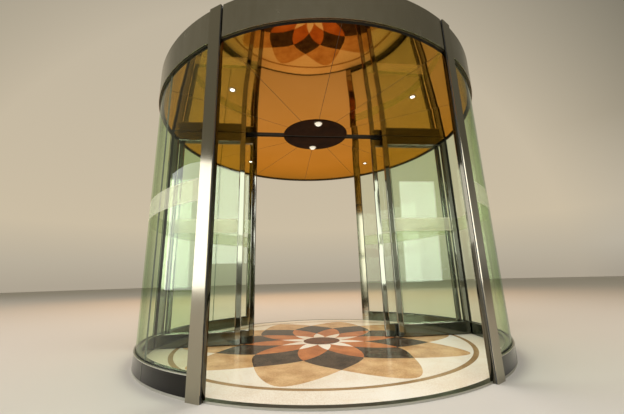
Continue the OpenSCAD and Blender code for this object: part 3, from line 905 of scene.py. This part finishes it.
seam_half = 0.0021
seam_rim_gap = 0.0015
seam_hub_lap = 0.004
seam_proud = 0.0003
seam_depth = 0.0015
spot_trim_w = 0.0085
spot_drop = 0.004
dome_trim_in = 0.004


def seam_seals():
    """Dark seals in the ceiling's seams, with none where the track beam runs."""
    mesh = bmesh.new()
    low = (-seam_half, -ceiling_r + seam_rim_gap, ceiling_z - seam_proud)
    high = (seam_half, -hub_r + seam_hub_lap, ceiling_z + seam_depth)
    for turn in range(0, 360, seam_step_deg):
        if turn % 180 != 90:
            verts = new_verts(mesh, lambda: block(mesh, low, high))
            turned = Matrix.Rotation(math.radians(turn), 3, "Z")
            bmesh.ops.rotate(mesh, verts=verts, cent=(0, 0, 0), matrix=turned)
    finish_piece("ceiling_seam_seals", mesh, "rotor", (seam_seal,))


def lamp_rings():
    """Bronze rings round the ceiling's spotlights and domes."""
    mesh = bmesh.new()
    spot_face_z = ceiling_z - spot_drop
    spot_profile = (
        (spot_r - spot_trim_w, spot_face_z + 0.001), (spot_r - 0.0075, spot_face_z - 0.0006),
        (spot_r - 0.001, spot_face_z - 0.0006), (spot_r + 0.0012, ceiling_z),
        (spot_r - spot_trim_w, ceiling_z),
    )
    for turn in range(45, 360, 90):
        turned_ring(mesh, polar(spot_place_r, turn), spot_profile)
    dome_trim_z = hub_face_z - 0.0066
    dome_profile = (
        (dome_r - dome_trim_in, dome_trim_z), (dome_r + 0.0015, dome_trim_z),
        (dome_r + 0.0036, hub_face_z - 0.004), (dome_r + 0.0036, hub_face_z),
        (dome_r - dome_trim_in, hub_face_z),
    )
    for turn in (0, 180):
        turned_ring(mesh, polar(dome_place_r, turn), dome_profile)
    finish_piece("ceiling_lamp_rings", mesh, "rotor", (lamp_bronze,))


# Glazing and seals of the side panels and the sliding leaves

gates = (
    ("panel_left", "rotor", "inner_stile", "outer_stile"),
    ("panel_right", "rotor", "inner_stile", "outer_stile"),
    ("leaf_left", "leaf_left", "nose_stile", "tail_stile"),
    ("leaf_right", "leaf_right", "nose_stile", "tail_stile"),
)
bead_w = 0.010
bead_in = 0.0085
bead_recess = 0.002
bead_edge = 0.001
gasket_face_w = 0.008
glass_play = 0.0052
bristle_t = 0.007
head_bristle_t = bristle_t * 0.8
foot_play = 0.001
wall_play = 0.003
post_play = 0.0055
end_play = 0.006
leaf_brush_place = 0.022
leaf_brush_reach = 0.0175
head_play = 0.002
head_brush_in = 0.014
tail_brush_reach = 0.008
nose_r = 0.0075
nose_proud = 0.0020
nose_inset = 0.0002
nose_end_gap = 0.002

upwards = (0, 0, 1)
downwards = (0, 0, -1)
rightwards = (1, 0, 0)
rearwards = (0, 1, 0)


def line_opening(mesh, low, high, width, from_y, to_y, edge=0.0):
    """Four bars that line an opening between two corners."""
    bars = (
        (low.x, low.z, low.x + width, high.z),
        (high.x - width, low.z, high.x, high.z),
        (low.x + width, low.z, high.x - width, low.z + width),
        (low.x + width, high.z - width, high.x - width, high.z),
    )
    near_y, far_y = min(from_y, to_y), max(from_y, to_y)
    for low_x, low_z, high_x, high_z in bars:
        block(mesh, (low_x, near_y, low_z), (high_x, far_y, high_z), edge)


def gate_glazing(gate, body, near_stile, far_stile):
    """Beads and gaskets on both faces of one pane, and the frosted band on one."""
    stiles = [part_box(f"{gate}_{stile}") for stile in (near_stile, far_stile)]
    left, right = sorted(stiles, key=lambda box: box[0].x)
    low = Vector((left[1].x, 0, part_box(f"{gate}_bottom_rail")[1].z))
    high = Vector((right[0].x, 0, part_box(f"{gate}_top_rail")[0].z))
    middle_y = (left[0].y + left[1].y) / 2
    bead_out = (left[1].y - left[0].y) / 2 - bead_recess
    beads, gaskets = bmesh.new(), bmesh.new()
    for side in (-1, 1):
        inner_y = middle_y + side * bead_in
        line_opening(beads, low, high, bead_w, inner_y, middle_y + side * bead_out, bead_edge)
        line_opening(gaskets, low, high, gasket_face_w, middle_y + side * glass_play, inner_y)
    finish_piece(f"{gate}_glazing_beads", beads, body, (gate_steel,))
    finish_piece(f"{gate}_gaskets", gaskets, body, (black_rubber,))
    band = bmesh.new()
    # The band lies on the front of a side panel and on the rear of a leaf
    side = -1 if body == "rotor" else 1
    near_y = middle_y + side * (flat_glass_half + film_gap)
    far_y = near_y + side * film_t
    spans = (
        (band_low, band_high), (band_low - film_edge_w, band_low), (band_high, band_high + film_edge_w),
    )
    for place, (low_z, high_z) in enumerate(spans):
        faces = set(band.faces)
        corner = (low.x + bead_w, min(near_y, far_y), low_z)
        block(band, corner, (high.x - bead_w, max(near_y, far_y), high_z))
        for face in set(band.faces) - faces:
            face.material_index = min(place, 1)
    finish_piece(f"{gate}_glass_band", band, body, (gate_film, film_edge))


def panel_seals():
    """Brushes of the side panels: along the floor, up the wall, and against the leaves."""
    mesh = bmesh.new()
    for side, gate in ((-1, "panel_left"), (1, "panel_right")):
        outwards = (side, 0, 0)
        near_low, near_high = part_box(f"{gate}_inner_stile")
        far_low, far_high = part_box(f"{gate}_outer_stile")
        middle_y = (near_low.y + near_high.y) / 2
        near_x = min(abs(near_low.x), abs(near_high.x))
        far_x = max(abs(far_low.x), abs(far_high.x))
        foot_z = near_low.z
        start = (near_x if side > 0 else -far_x, middle_y, foot_z)
        reach = foot_z - floor_z - foot_play
        brush(mesh, start, rightwards, downwards, far_x - near_x, reach, bristle_t)
        start = (side * far_x, middle_y, foot_z)
        reach = wall_inner_r - wall_play - far_x
        brush(mesh, start, upwards, outwards, skirting_top - foot_z, reach, bristle_t)
        upper_z = skirting_top + end_play
        reach = math.sqrt((post_inner_r - post_play) ** 2 - (abs(middle_y) + bristle_t) ** 2) - far_x
        length = soffit_z - end_play - upper_z
        brush(mesh, (side * far_x, middle_y, upper_z), upwards, outwards, length, reach, bristle_t)
        start = (side * (near_x + leaf_brush_place), near_high.y, foot_z)
        length = soffit_z - 2 * end_play - foot_z
        brush(mesh, start, upwards, rearwards, length, leaf_brush_reach, bristle_t)
    finish_piece("panel_brushes", mesh, "rotor", (brush_fibre,))


def leaf_seals(side, gate):
    """Brushes and the soft nose of one sliding leaf."""
    nose_low, nose_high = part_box(f"{gate}_nose_stile")
    tail_low, tail_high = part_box(f"{gate}_tail_stile")
    middle_y = (nose_low.y + nose_high.y) / 2
    nose_x = min(abs(nose_low.x), abs(nose_high.x))
    tail_x = max(abs(tail_low.x), abs(tail_high.x))
    foot_z, head_z = nose_low.z, nose_high.z
    width = tail_x - nose_x
    left_x = nose_x if side > 0 else -tail_x
    mesh = bmesh.new()
    foot_reach = foot_z - floor_z - foot_play
    brush(mesh, (left_x, middle_y, foot_z), rightwards, downwards, width, foot_reach, bristle_t)
    head_reach = ceiling_z - head_play - head_z
    start = (left_x, middle_y - head_brush_in, head_z)
    brush(mesh, start, rightwards, upwards, width, head_reach, head_bristle_t)
    start = (side * tail_x, middle_y, foot_z)
    brush(mesh, start, upwards, (side, 0, 0), head_z - foot_z, tail_brush_reach, bristle_t)
    finish_piece(f"{gate}_brushes", mesh, gate, (brush_fibre,))
    mesh = bmesh.new()
    nose = []
    for turn in (step * math.pi / 8 for step in range(9)):
        out_x = nose_x + nose_inset - nose_proud * math.sin(turn)
        nose.append((side * out_x, middle_y + nose_r * math.cos(turn), foot_z + nose_end_gap))
    extruded(mesh, nose, (0, 0, head_z - foot_z - 2 * nose_end_gap))
    finish_piece(f"{gate}_nose_rubber", mesh, gate, (black_rubber,))


# Studio

white = (1, 1, 1)
amber = (1.0, 0.50, 0.15)

# Tall softboxes in front, from side to side and from low to high; the gaps between them show as dark
# lines in polished steel
front_y = -14
front_tilt = 0.9
front_softboxes = (
    (-13.0, -9.4, 0.4, 6.6), (-8.2, -5.6, 0.4, 6.6), (-5.0, -0.6, 1.7, 8.6),
    (2.2, 5.7, 0.4, 6.6), (7.0, 9.3, 0.4, 6.6), (11.2, 14.0, 0.4, 6.6),
)
# How bright the faces of the softboxes look that polished pieces mirror
mirrored_radiance = 3.7

studio_floor_r = 60

# Colours of the surroundings by height, behind the door and all round it
rear_colours = (
    (0.0, (0.43, 0.375, 0.290)), (0.06, (0.49, 0.43, 0.33)),
    (0.16, (0.60, 0.51, 0.37)), (0.9, (0.50, 0.44, 0.34)),
)
round_colours = (
    (0.0, (0.32, 0.31, 0.28)), (0.07, (0.62, 0.60, 0.53)),
    (0.36, (0.225, 0.208, 0.155)), (0.9, (0.26, 0.235, 0.18)),
)


def softbox(name, place, target, size, radiance, colour=white, mirrored=False):
    """A soft lamp that faces a point, given by its width and height and by how bright its face looks."""
    width, height = size
    data = bpy.data.lights.new(name, "AREA")
    data.shape = "RECTANGLE"
    data.size = width
    data.size_y = height
    data.energy = radiance * math.pi * width * height
    data.color = colour
    lamp = bpy.data.objects.new(name, data)
    lamp.location = place
    lamp.rotation_euler = (Vector(target) - Vector(place)).to_track_quat("-Z", "Y").to_euler()
    lamp.visible_camera = False
    lamp.visible_glossy = mirrored
    bpy.context.scene.collection.objects.link(lamp)


def studio_floor():
    """Plain pale floor under the door and far round it."""
    mesh = bmesh.new()
    bmesh.ops.create_circle(mesh, cap_ends=True, cap_tris=False, segments=disc_sides, radius=studio_floor_r)
    data = bpy.data.meshes.new("studio_floor")
    mesh.to_mesh(data)
    mesh.free()
    floor = bpy.data.objects.new("studio_floor", data)
    bpy.context.scene.collection.objects.link(floor)
    material, tree, shader = new_material("studio_floor")
    shader.inputs["Base Color"].default_value = (0.66, 0.63, 0.58, 1)
    shader.inputs["Roughness"].default_value = 0.7
    data.materials.append(material)


def surroundings():
    """Plain warm surroundings, a little darker on the right."""
    world = bpy.data.worlds.new("studio")
    bpy.context.scene.world = world
    world.use_nodes = True
    tree = world.node_tree
    across, deep, high = axes(tree, "Generated")
    shade = add(tree, "ShaderNodeVectorMath", operation="SCALE")
    tree.links.new(ramp(tree, high, round_colours), shade.inputs["Vector"])
    dimming = spread(tree, across, low=1.0, high=0.72, from_low=0.1, from_high=0.8)
    tree.links.new(dimming, shade.inputs["Scale"])
    behind = spread(tree, deep, low=0.0, high=1.0, from_low=0.40, from_high=0.68)
    colour = mix_colours(tree, behind, shade.outputs["Vector"], ramp(tree, high, rear_colours))
    tree.links.new(colour, tree.nodes["Background"].inputs["Color"])


def lamps():
    """Softboxes in front and at the left that show in the steel and glass, and three that only light."""
    for low_x, high_x, low_z, high_z in front_softboxes:
        place = Vector(((low_x + high_x) / 2, front_y, (low_z + high_z) / 2))
        target = place - Vector((0, front_y, front_tilt))
        size = (high_x - low_x, high_z - low_z)
        softbox("front_softbox", place, target, size, mirrored_radiance, mirrored=True)
    softbox("left_softbox", (-24, -6, 5.3), (0, -1, 2.4), (28, 10.4), mirrored_radiance, mirrored=True)
    softbox("top_softbox", (0, 0, 9), (0, 0, 0), (12, 12), 1.2)
    softbox("room_softbox", (0, -0.8, 2.50), (0, -0.8, 0), (2.0, 1.2), 4.6)
    softbox("rear_softbox", (0, 8.5, 6.0), (0, 6.0, 0), (16, 8), 1.15, amber)


aim_camera()
dress_nodes()
inlaid_floor()
drum_bands()
pane_seals()
glass_gaskets()
skirting_trims()
skirting_covers()
doorway_trims()
post_trims()
canopy_brushes()
roof_fixings()
seam_seals()
lamp_rings()
for gate in gates:
    gate_glazing(*gate)
panel_seals()
leaf_seals(-1, "leaf_left")
leaf_seals(1, "leaf_right")
studio_floor()
surroundings()
lamps()

bpy.context.scene.cycles.transparent_max_bounces = 32
bpy.context.scene.view_settings.view_transform = "Standard"
